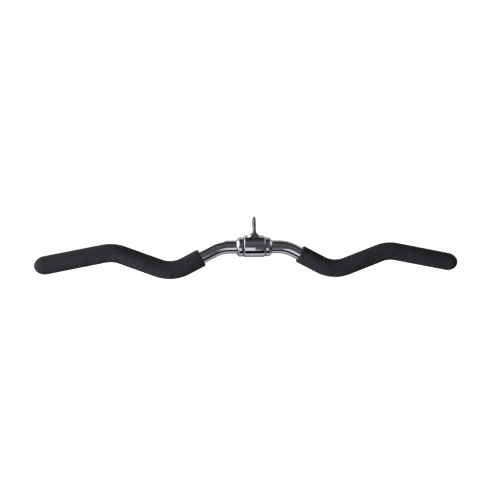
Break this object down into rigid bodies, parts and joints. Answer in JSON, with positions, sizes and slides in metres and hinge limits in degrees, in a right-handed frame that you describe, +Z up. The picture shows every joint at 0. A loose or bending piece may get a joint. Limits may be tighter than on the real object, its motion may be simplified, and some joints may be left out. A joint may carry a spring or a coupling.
{
  "type": "ez curl bar",
  "caption": "Bent chromed curl bar for a cable machine, with moulded grips and a revolving central hanger whose eye takes a carabiner.",
  "frame": {"origin": "centre of the carabiner eye in the hanger's plate", "axes": "+X along the bar and along the eye's hole, +Y from front to back, +Z up, the way the cable pulls"},
  "size_m": [0.7, 0.036, 0.1021],
  "materials": {
    "bar_chrome": "bright chrome plate on steel bar",
    "hanger_chrome": "chrome plate on a polished casting",
    "collar_chrome": "chrome plate on turned steel",
    "grip_urethane": "matte moulded black urethane with a fine grain",
    "screw_steel": "black-oxide alloy steel",
    "bearing_acetal": "plain black acetal"
  },
  "bodies": {
    "hanger": {"swivel_hanger": "hanger_chrome", "left_bush_upper_half": "bearing_acetal", "left_bush_lower_half": "bearing_acetal", "right_bush_upper_half": "bearing_acetal", "right_bush_lower_half": "bearing_acetal"},
    "bar": {"bent_bar": "bar_chrome", "left_grip": "grip_urethane", "right_grip": "grip_urethane", "left_collar": "collar_chrome", "right_collar": "collar_chrome", "left_set_screw": "screw_steel", "right_set_screw": "screw_steel", "left_thrust_washer": "bearing_acetal", "right_thrust_washer": "bearing_acetal"}
  },
  "joints": [
    {"name": "bar_swivel", "type": "hinge", "parent": "hanger", "child": "bar", "pos_m": [0, 0, -0.0385], "axis": [1, 0, 0], "continuous": true}
  ]
}
